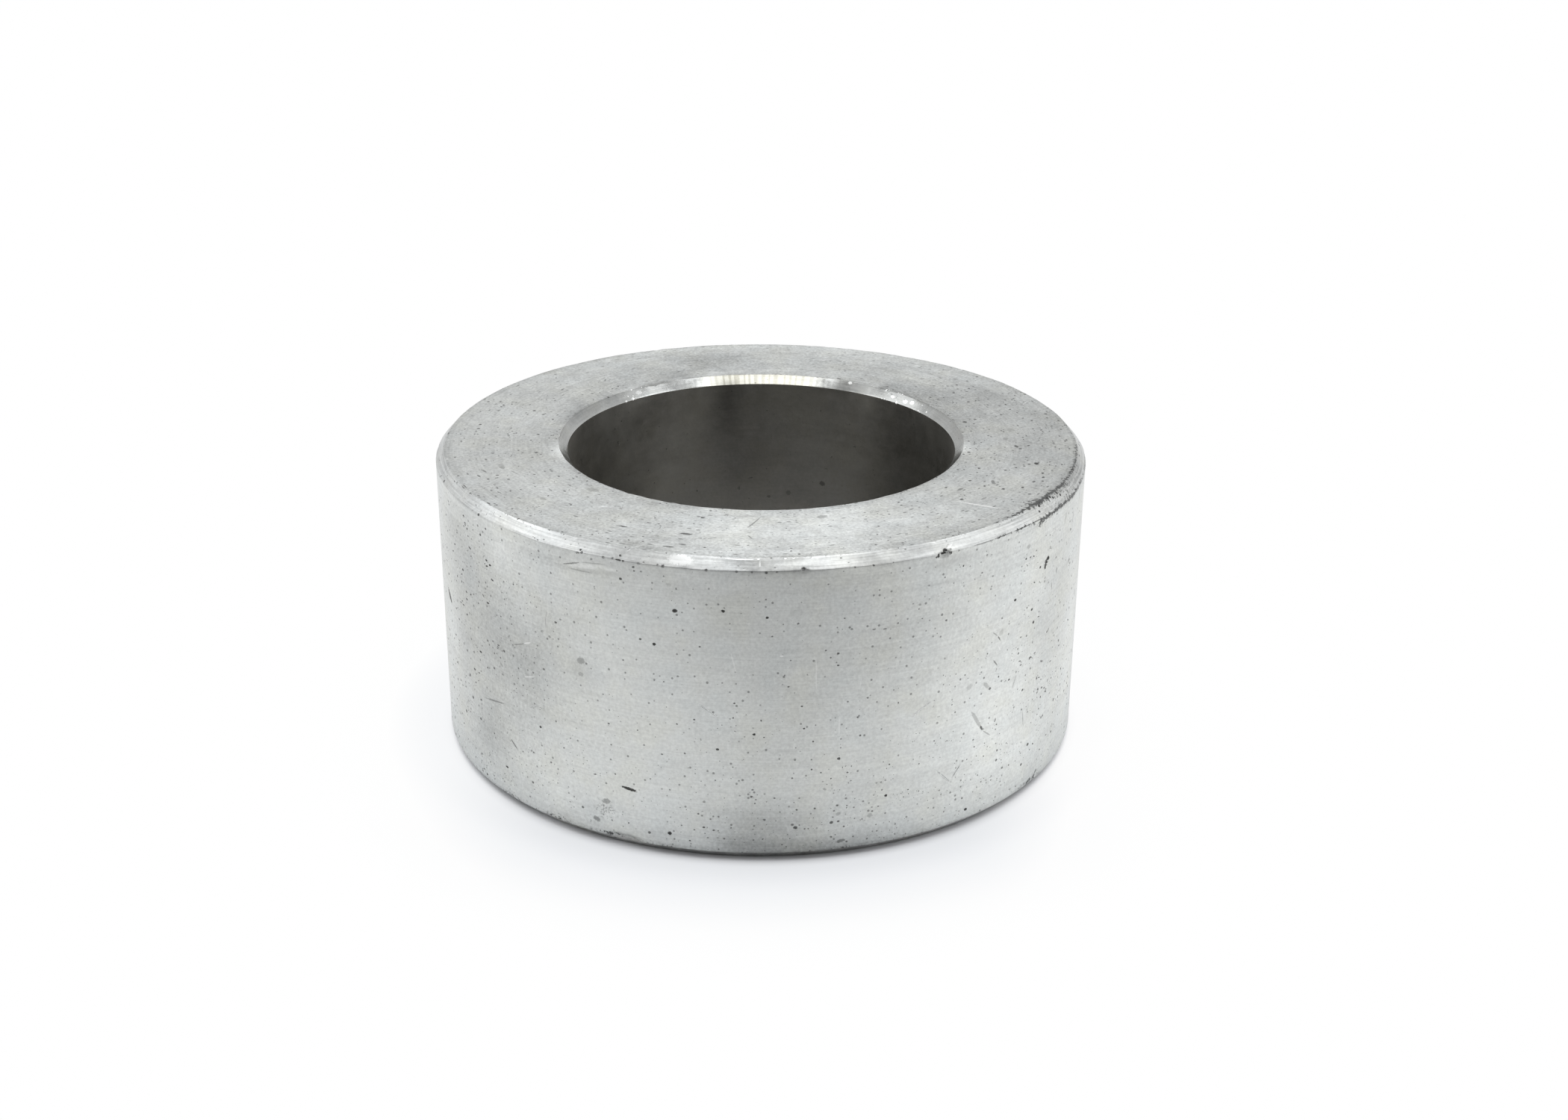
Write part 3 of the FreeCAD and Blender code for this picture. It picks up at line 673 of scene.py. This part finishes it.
def loose_marks(placed, radius_at, side, walked):
    """Every lot of seeded marks, thinned where the placed marks carry the look: at the front the
    larger dark ones and two in three of those under the rim go, and everywhere those that touch
    a placed mark."""
    low, high = walked[side == FOOT_CHAMFER][0], walked[side == TOP_CHAMFER][-1]
    above_foot = low + 0.8
    areas = {
        "wall": (above_foot, high), "lower half": (above_foot, low + 11),
        "lower two thirds": (above_foot, low + 15), "foot": (above_foot, low + 5),
        "top": (high, walked[side == TOP_FACE][-1]), "bore": walked[side == BORE_SIDE][[0, -1]],
        "mouth": walked[side == BORE_CHAMFER][[0, -1]],
    }
    draw = np.random.default_rng(23)
    loose = np.concatenate([scattered(draw, count, turns, areas[area], *form)
                            for area, count, turns, *form in LOOSE_MARKS])
    turn, length, size, _, _, tone, _ = loose.T
    on_wall = length < high
    under_rim = (abs(turn) < 30.0) & (length > high - 11.0) & on_wall
    tone[under_rim] *= 0.7
    large = (abs(turn) < 48.0) & (size > np.where(on_wall, 0.08, 0.11)) & (tone < 0.0)
    loose = loose[~large & ~(under_rim & (np.arange(len(loose)) % 3 > 0))]
    across = np.radians(loose[:, None, 0] - placed[:, 0]) * radius_at(loose[:, 1])[:, None]
    gap = np.hypot(across, loose[:, None, 1] - placed[:, 1])
    return loose[(gap > placed[:, 2] + loose[:, None, 2] + 0.15).all(axis=1)]


def lay_marks(mesh, u, v, section, side, walked):
    """Two maps that lay every mark on the skin. A face takes the mark that is nearest to it in
    that mark's own sizes. The marks map has the place of each corner in the mark's frame, where
    its outline is the circle of radius 1, and the tones map has the mark's tone and depth."""
    def radius_at(lengths):
        return np.interp(lengths, walked, section[:, 0])

    placed = placed_marks(section, side, walked)
    marks = np.concatenate([placed, loose_marks(placed, radius_at, side, walked)])
    turn, length, long, wide, lean, tone, depth = marks.T
    local, cos, sin = radius_at(length), np.cos(np.radians(lean)), np.sin(np.radians(lean))
    mid_u, mid_v = u.mean(axis=-1).ravel(), v.mean(axis=-1).ravel()
    nearest, least = np.zeros(mid_u.size, int), np.full(mid_u.size, 1e9)
    for i in range(len(marks)):
        close = np.flatnonzero(abs(mid_v - length[i]) < long[i] + MARK_REACH)
        across = np.radians(mid_u[close] - turn[i]) * local[i]
        up = mid_v[close] - length[i]
        far = np.hypot((across * cos[i] + up * sin[i]) / (long[i] + MARK_SKIRT),
                       (up * cos[i] - across * sin[i]) / (wide[i] + MARK_SKIRT))
        better = far < least[close]
        least[close[better]] = far[better]
        nearest[close[better]] = i
    turn, length, long, wide, tone, depth, local, cos, sin = (
        of_mark[nearest][:, None] for of_mark in (turn, length, long, wide, tone, depth, local, cos, sin))
    across = np.radians(u.reshape(-1, 4) - turn) * local
    up = v.reshape(-1, 4) - length
    x = np.clip((across * cos + up * sin) / long, -60, 60)
    y = np.clip((up * cos - across * sin) / wide, -60, 60)
    far = (least > 6.0)[:, None]
    add_map(mesh, "marks", np.where(far, OFF_MARK, x), np.where(far, OFF_MARK, y))
    add_map(mesh, "tones", np.repeat(tone, 4, axis=1), np.repeat(depth / DEPTH_UNIT, 4, axis=1))
    print("marks", len(marks))


def lay_painted_light_and_stains(mesh, u, v, section, side, walked):
    """A map with the change in tone that the stained patches, the painted light and the edge lines of
    painted shade make, and
    with the thickness of the grime: each is a sum of soft round hills."""

    def hills(placed):
        total = np.zeros(u.shape)
        for face, spots in placed.items():
            number, axis, way = FACES[face]
            for turn, place, around, along, amount, *lean in spots:
                length = length_at(place, side == number, axis, way, section, walked)
                local = place if face == "top" else BORE if face in ("bore", "mouth") else OUTER
                across = np.radians((u - turn + 180.0) % 360.0 - 180.0) * local
                up = v - length
                tilt = math.radians(lean[0] if lean else 0.0)
                c, s = math.cos(tilt), math.sin(tilt)
                far = ((across * c + up * s) / around) ** 2 + ((up * c - across * s) / along) ** 2
                total += amount * np.exp(-far)
        return total

    tone = hills(PAINTED_LIGHT_AND_STAINS)
    for number, past, darker, half in EDGE_LINES:
        tone -= darker * hill(v - walked[side == number][1], past, half)
    add_map(mesh, "stains", tone, hills(GRIME))


class Wiring:
    """Adds nodes to one node tree. An input may be given a number, a colour or a socket."""

    def __init__(self, tree):
        self.tree = tree

    def put(self, value, into):
        if isinstance(value, bpy.types.NodeSocket):
            self.tree.links.new(value, into)
        elif value is not None:
            into.default_value = value

    def node(self, kind, inputs=None, **settings):
        node = self.tree.nodes.new("ShaderNode" + kind)
        for name, value in settings.items():
            setattr(node, name, value)
        for key, value in (inputs or {}).items():
            self.put(value, node.inputs[key])
        return node

    def math(self, operation, a, b=None, c=None, clamp=False):
        return self.node("Math", {0: a, 1: b, 2: c}, operation=operation, use_clamp=clamp).outputs[0]

    def sum(self, *terms):
        """The sum of products: each term is a socket and the number that it is scaled by."""
        total = 0.0
        for socket, share in terms:
            total = self.math("MULTIPLY_ADD", socket, share, total)
        return total

    def vector(self, operation, a, b=None):
        return self.node("VectorMath", {0: a, 1: b}, operation=operation).outputs[0]

    def split(self, vector):
        """The X, Y and Z of a vector."""
        return self.node("SeparateXYZ", {0: vector}).outputs

    def join(self, x=0.0, y=0.0, z=0.0):
        return self.node("CombineXYZ", {"X": x, "Y": y, "Z": z}).outputs[0]

    def length(self, vector):
        return self.node("VectorMath", {0: vector}, operation="LENGTH").outputs["Value"]

    def uv(self, name):
        return self.node("UVMap", uv_map=name).outputs[0]

    def noise(self, place, scale, detail=2.0, rough=0.5):
        inputs = {"Vector": place, "Scale": scale, "Detail": detail, "Roughness": rough}
        return self.node("TexNoise", inputs).outputs["Fac"]

    def fit(self, value, low, high, to_low=0.0, to_high=1.0):
        """The value carried smoothly from the range low to high onto the other range."""
        inputs = {"Value": value, "From Min": low, "From Max": high, "To Min": to_low, "To Max": to_high}
        return self.node("MapRange", inputs, interpolation_type="SMOOTHSTEP").outputs["Result"]

    def colour(self, factor, a, b, kind="MIX"):
        mix = self.node("Mix", {0: factor, 6: a, 7: b}, data_type="RGBA", blend_type=kind)
        return mix.outputs[2]

    def use(self, group, **inputs):
        """A node group's outputs. An input's name has an underscore for each space."""
        node = self.tree.nodes.new("ShaderNodeGroup")
        node.node_tree = group
        for name, value in inputs.items():
            self.put(value, node.inputs[name.replace("_", " ")])
        return node.outputs


def new_group(name, inputs, outputs):
    """An empty node group with those inputs and outputs: the group, its wiring, its input
    sockets, and a function that connects its outputs."""
    group = bpy.data.node_groups.new(name, "ShaderNodeTree")
    for socket, kind in inputs.items():
        group.interface.new_socket(socket, in_out="INPUT", socket_type="NodeSocket" + kind)
    for socket in outputs:
        group.interface.new_socket(socket, in_out="OUTPUT", socket_type="NodeSocketFloat")
    wiring = Wiring(group)
    into = group.nodes.new("NodeGroupInput")
    out = group.nodes.new("NodeGroupOutput")

    def give(**values):
        for key, value in values.items():
            group.links.new(value, out.inputs[key])
    return group, wiring, into.outputs, give


def turning_group():
    """Fine grooves left by the tool: noise that changes quickly along the section and slowly
    round the axis. Turning is the vector (cosine, sine, length walked in mm)."""
    inputs = {"Turning": "Vector", "Per mm": "Float"}
    group, w, into, give = new_group("turning grooves", inputs, ["Fine", "Broad"])

    def lines(round_scale, per_mm):
        place = w.vector("MULTIPLY", into["Turning"], w.join(round_scale, round_scale, per_mm))
        return w.noise(place, 1.0, 2.0, 0.6)

    give(Fine=lines(5.0, into["Per mm"]), Broad=lines(2.0, w.math("MULTIPLY", into["Per mm"], 0.2)))
    return group


def film_group():
    """Cloudy film, mottling and grain of bare steel that has been handled, each from 0 to 1."""
    group, w, into, give = new_group("steel film", {"Place": "Vector"}, ["Clouds", "Mottle", "Grain"])
    give(
        Clouds=w.noise(into["Place"], 0.17, 4.0, 0.6),
        Mottle=w.noise(into["Place"], 1.1, 3.0, 0.7),
        Grain=w.noise(into["Place"], 4.6, 1.5, 0.6),
    )
    return group


def pits_group():
    """Specks round the points of a Voronoi pattern, each of its own size. Around and Along are
    the scales of the pattern in the turning vector, and Reach is how large the specks are."""
    inputs = {"Turning": "Vector", "Around": "Float", "Along": "Float", "Reach": "Float"}
    group, w, into, give = new_group("specks", inputs, ["Specks"])
    place = w.vector("MULTIPLY", into["Turning"], w.join(into["Around"], into["Around"], into["Along"]))
    cells = w.node("TexVoronoi", {"Vector": place, "Scale": 1.0})
    size = w.node("SeparateColor", {0: cells.outputs["Color"]}).outputs[0]
    reach = w.math("MULTIPLY", w.math("MULTIPLY", size, size), into["Reach"])
    give(Specks=w.math("MULTIPLY", w.math("SUBTRACT", reach, cells.outputs["Distance"]), 9.0, clamp=True))
    return group


def marks_group():
    """The laid marks: inside the circle of radius 1 of the marks map, with a ragged outline."""
    inputs = {"Mark": "Vector", "Tone": "Vector", "Place": "Vector"}
    group, w, into, give = new_group("struck marks", inputs, ["Dark", "Bright", "Hollow"])
    ragged = w.math("MULTIPLY_ADD", w.noise(into["Place"], 9.0, 2.0), 0.9, -0.45)
    far = w.math("ADD", w.length(into["Mark"]), ragged)
    inside = w.fit(far, 1.1, 0.72)
    tone = w.split(into["Tone"])
    give(
        Dark=w.math("MULTIPLY", inside, w.math("MULTIPLY", tone["X"], -1.0, clamp=True)),
        Bright=w.math("MULTIPLY", inside, w.math("MULTIPLY", tone["X"], 1.0, clamp=True)),
        Hollow=w.math("MULTIPLY", w.fit(far, 1.15, 0.2), tone["Y"]),
    )
    return group


TURNING_GROOVES, STEEL_FILM = turning_group(), film_group()
PITS, STRUCK_MARKS = pits_group(), marks_group()


def steel(name, metal, rough, tones, lines, groove, specks, around, along, anisotropy, painted_highlight=None):
    """Turned steel. metal is its bare colour, tones how strongly its clouds, mottling, grain, fine
    grooves and broad grooves change it, lines the grooves per mm, and groove their depth in
    thousandths of a mm. specks, around and along are the reach and scales of its pits, and
    painted_highlight, where given, paints a highlight into its colour under the dirt."""
    mat = bpy.data.materials.new(name)
    mat.use_nodes = True
    w = Wiring(mat.node_tree)
    shader = mat.node_tree.nodes["Principled BSDF"]
    coords = w.node("TexCoord").outputs["Object"]
    place = w.vector("MULTIPLY", coords, (1000.0, 1000.0, 1000.0))
    skin, painted_light_and_stain = w.split(w.uv("skin")), w.split(w.uv("stains"))
    heading = w.split(w.vector("NORMALIZE", w.vector("MULTIPLY", coords, (1.0, 1.0, 0.0))))
    turning = w.join(heading["X"], heading["Y"], skin["Y"])
    grooves = w.use(TURNING_GROOVES, Turning=turning, Per_mm=lines)
    film = w.use(STEEL_FILM, Place=place)
    pits = w.use(PITS, Turning=turning, Around=around, Along=along, Reach=specks)["Specks"]
    marks = w.use(STRUCK_MARKS, Mark=w.uv("marks"), Tone=w.uv("tones"), Place=place)
    layers = [film["Clouds"], film["Mottle"], film["Grain"], grooves["Fine"], grooves["Broad"]]
    # The tone map of stained patches and painted light and shade scales the colour.
    shade = w.sum((painted_light_and_stain["X"], 1.0), *zip(layers, tones))
    shade = w.math("ADD", shade, 1.0 - sum(tones) / 2)
    hue = w.noise(place, 0.31, 3.0)
    colour = w.colour(w.fit(hue, 0.45, 0.68), metal, WARM_FILM, "MULTIPLY")
    colour = w.colour(w.fit(hue, 0.48, 0.3), colour, COOL_FILM, "MULTIPLY")
    colour = w.node("VectorMath", {0: colour, "Scale": shade}, operation="SCALE").outputs[0]
    # A painted highlight, where given, goes into the colour under the dirt.
    if painted_highlight:
        colour = painted_highlight(w, colour, skin["X"])
    broken = w.sum((painted_light_and_stain["Y"], 0.38), (w.noise(place, 3.6, 4.0, 0.75), 1.8))
    grime = w.math("MULTIPLY", w.fit(broken, 1.0, 1.18), w.math("MULTIPLY", painted_light_and_stain["Y"], 5.0, clamp=True))
    colour = w.colour(w.math("MULTIPLY", grime, 0.9), colour, GRIME_COLOUR)
    # Dark marks go near black, pits and specks with the painted shade of the dents, and bright marks near
    # white, scratches with painted highlights.
    black = w.math("MAXIMUM", w.math("MULTIPLY", pits, 0.6), marks["Dark"])
    colour = w.colour(w.math("MULTIPLY", black, 0.94), colour, PIT_AND_PAINTED_SHADE_COLOUR)
    colour = w.colour(w.math("MULTIPLY", marks["Bright"], 0.9), colour, SCRATCH_AND_PAINTED_HIGHLIGHT_COLOUR)
    w.put(colour, shader.inputs["Base Color"])
    w.put(1.0, shader.inputs["Metallic"])
    bare = w.sum((film["Mottle"], 0.16), (film["Clouds"], 0.10), (grooves["Broad"], 0.06))
    w.put(w.math("ADD", bare, rough - 0.16, clamp=True), shader.inputs["Roughness"])
    w.put(anisotropy, shader.inputs["Anisotropic"])
    w.put(0.25, shader.inputs["Anisotropic Rotation"])
    w.put(w.node("Tangent", direction_type="RADIAL", axis="Z").outputs[0], shader.inputs["Tangent"])
    height = w.sum((grooves["Fine"], groove), (grooves["Broad"], groove * 1.5), (film["Mottle"], 3.0),
                   (film["Grain"], 2.4), (pits, -6.0), (marks["Hollow"], -DEPTH_UNIT))
    bump = w.node("Bump", {"Strength": 1.0, "Distance": 1e-6, "Height": height})
    w.put(bump.outputs[0], shader.inputs["Normal"])
    return mat


def painted_chatter_highlight(w, colour, turn):
    """The cutter's chatter in a painted highlight: the far side of the bore's chamfer, where its
    highlight lies, is tinted cream, and narrow grey stripes across it paint the chatter's reflections."""
    wander = w.noise(w.join(w.math("MULTIPLY", turn, 0.2)), 1.0, 2.0)
    wave = w.math("COSINE", w.math("MULTIPLY_ADD", wander, 16.0, w.math("MULTIPLY", turn, math.tau / 2.2)))
    far = w.fit(w.math("ABSOLUTE", turn), 158.0, 168.0)
    stripes = w.math("MULTIPLY", w.fit(wave, -0.2, 0.9), far)
    deepest = w.fit(w.math("ABSOLUTE", w.math("ADD", turn, 172.0)), 9.0, 4.0, 0.3, 0.46)
    colour = w.colour(far, colour, PAINTED_HIGHLIGHT_CREAM, "MULTIPLY")
    return w.colour(w.math("MULTIPLY", stripes, deepest), colour, STRIPE_GREY, "MULTIPLY")


def make_floor():
    """White paper. The camera sees it pale grey in the ring's shadow, and white further out."""
    mesh = bpy.data.meshes.new("floor")
    s, z = 2.0, -2e-5
    mesh.from_pydata([(-s, -s, z), (s, -s, z), (s, s, z), (-s, s, z)], [], [(0, 1, 2, 3)])
    floor = bpy.data.objects.new("floor", mesh)
    bpy.context.scene.collection.objects.link(floor)
    mat = bpy.data.materials.new("white paper")
    mat.use_nodes = True
    w = Wiring(mat.node_tree)
    shader = mat.node_tree.nodes["Principled BSDF"]
    w.put((0.84, 0.85, 0.87, 1.0), shader.inputs["Base Color"])
    w.put(0.9, shader.inputs["Roughness"])
    w.put(0.2, shader.inputs["Specular IOR Level"])
    place = w.node("TexCoord").outputs["Object"]
    away, where = w.length(place), w.split(place)
    path = w.node("LightPath").outputs
    # How white the camera sees the paper, by its distance from the axis and on both sides.
    near = w.fit(away, 0.0249, 0.02585, 0.0, 0.60)
    near = w.math("ADD", near, w.fit(away, 0.026, 0.0295, 0.0, 0.27))
    white = w.math("MULTIPLY_ADD", w.fit(away, 0.030, 0.040), 0.13, near)
    beside = w.fit(w.math("DIVIDE", w.math("ABSOLUTE", where["X"]), away), 0.5, 0.97, 0.0, 0.86)
    beside = w.math("MULTIPLY", beside, w.fit(away, 0.0245, 0.0252))
    shadow = w.math("MULTIPLY", w.math("SUBTRACT", 1.0, white), w.math("SUBTRACT", 1.0, beside))
    white = w.math("SUBTRACT", 1.0, shadow)
    # The ring mirrors the paper too: less of it near the foot, and darker towards the camera, a painted
    # shade.
    painted_shade_ahead = w.fit(where["Y"], -0.038, -0.110, 1.0, 0.22)
    mirrored = w.math("MULTIPLY", w.fit(away, 0.0255, 0.0330, 0.0, 0.85), path["Is Glossy Ray"])
    seen = w.math("MULTIPLY_ADD", path["Is Camera Ray"], white, mirrored)
    # The paper's glow is paler to the right and at the sides, painted light, and greyer near the foot, a
    # painted shadow.
    painted_light_to_right = w.fit(where["X"], -0.020, 0.020, 0.6, 1.2)
    pale = w.math("MULTIPLY_ADD", beside, painted_light_to_right, w.fit(away, 0.0255, 0.0350), clamp=True)
    paper = w.colour(pale, (0.885, 0.902, 0.925, 1.0), (1.0, 1.0, 1.0, 1.0))
    glow = w.node("Emission", {"Color": paper, "Strength": w.math("MAXIMUM", painted_shade_ahead, path["Is Camera Ray"])})
    mix = w.node("MixShader", {0: seen, 1: shader.outputs[0], 2: glow.outputs[0]})
    w.put(mix.outputs[0], mat.node_tree.nodes["Material Output"].inputs["Surface"])
    mesh.materials.append(mat)


def soft_light(name, centre, look_at, width, depth, radiance):
    """A panel of daylight of a given brightness: its power is brightness times pi times its area."""
    lamp = bpy.data.lights.new(name, "AREA")
    lamp.shape = "RECTANGLE"
    lamp.size, lamp.size_y = width * MM, depth * MM
    lamp.energy = radiance * math.pi * width * depth * MM * MM
    lamp.color = DAYLIGHT
    panel = bpy.data.objects.new(name, lamp)
    bpy.context.scene.collection.objects.link(panel)
    panel.location = Vector(centre) * MM
    panel.rotation_euler = (Vector(look_at) - Vector(centre)).to_track_quat("-Z", "Y").to_euler()


def make_world():
    """The room: dim in front, where the camera stands, and palest at the right. The camera sees
    white."""
    world = bpy.data.worlds.new("white room")
    bpy.context.scene.world = world
    world.use_nodes = True
    w = Wiring(world.node_tree)
    place = w.split(w.node("TexCoord").outputs["Generated"])
    back = w.math("MULTIPLY", w.fit(place["Y"], 0.5, 0.9), w.fit(place["Z"], 0.45, 0.15))
    right = w.math("MULTIPLY", w.fit(place["X"], 0.4, 0.85), w.fit(place["Z"], 0.7, 0.3))
    front = w.math("MULTIPLY", w.fit(place["Y"], -0.30, -0.80), w.fit(place["Z"], 0.95, 0.55))
    glow = w.math("ADD", w.sum((back, -0.18), (right, 0.35), (front, -0.70)), 0.82)
    room = w.node("Background", {"Color": (1.0, 1.0, 1.0, 1.0), "Strength": glow})
    white = w.node("Background", {"Color": (1.0, 1.0, 1.0, 1.0), "Strength": 1.0})
    seen = w.node("LightPath").outputs["Is Camera Ray"]
    mix = w.node("MixShader", {0: seen, 1: room.outputs[0], 2: white.outputs[0]})
    w.put(mix.outputs[0], world.node_tree.nodes["World Output"].inputs["Surface"])


def make_camera():
    """The photo's camera."""
    lens = bpy.data.cameras.new("camera")
    lens.lens, lens.sensor_width, lens.clip_start = FOCAL_LENGTH, FILM_WIDTH, 0.01
    camera = bpy.data.objects.new("camera", lens)
    bpy.context.scene.collection.objects.link(camera)
    camera.location = CAMERA_PLACE
    aim = Vector(CAMERA_HEADING).to_track_quat("-Z", "Y")
    camera.rotation_euler = (aim @ Quaternion((0, 0, 1), math.radians(CAMERA_ROLL))).to_euler()
    bpy.context.scene.camera = camera


ring = make_ring()
# The finishes, in the order WALL, FACE, RIM, BORED, MOUTH, FOOT.
for finish in (
    steel("turned wall", (0.705, 0.722, 0.707, 1), 0.44, (0.30, 0.20, 0.42, 0.22, 0.16), lines=8.0,
          groove=1.2, specks=0.30, around=62.0, along=2.5, anisotropy=0.7),
    steel("faced end", (0.63, 0.646, 0.636, 1), 0.44, (0.34, 0.42, 0.70, 0.32, 0.22), lines=6.0,
          groove=2.0, specks=0.32, around=28.0, along=3.2, anisotropy=0.6),
    steel("cut rim", (0.634, 0.648, 0.640, 1), 0.36, (0.2, 0.3, 0.4, 1.0, 0.2), lines=7.0, groove=3.0,
          specks=0.25, around=50.0, along=3.0, anisotropy=0.3),
    # The bored wall is given a colour much darker and warmer than the outside.
    steel("bored wall", (0.28, 0.272, 0.25, 1), 0.42, (0.3, 0.1, 0.2, 0.1, 0.1), lines=5.0, groove=2.0,
          specks=0.2, around=30.0, along=2.0, anisotropy=0.5),
    steel("bore mouth", (0.50, 0.51, 0.50, 1), 0.20, (0.2, 0.3, 0.2, 0.3, 0.2), lines=7.0, groove=1.5,
          specks=0.2, around=30.0, along=3.0, anisotropy=0.2, painted_highlight=painted_chatter_highlight),
    steel("foot rim", (0.60, 0.60, 0.59, 1), 0.40, (0.3, 0.5, 0.4, 0.4, 0.3), lines=6.0, groove=2.0,
          specks=0.3, around=50.0, along=3.0, anisotropy=0.4),
):
    ring.data.materials.append(finish)
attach(ring, "root")
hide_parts("spacer")

make_floor()
make_world()
soft_light("overhead panel", (6, 0, 320), (6, 0, 0), 252, 290, 1.9)
soft_light("left panel", (-300, 75, 297), (0, 75, 297), 270, 185, 1.5)
soft_light("right panel", (300, -5, 385), (0, -5, 385), 110, 190, 2.4)
make_camera()
bpy.context.scene.view_settings.view_transform = "Standard"
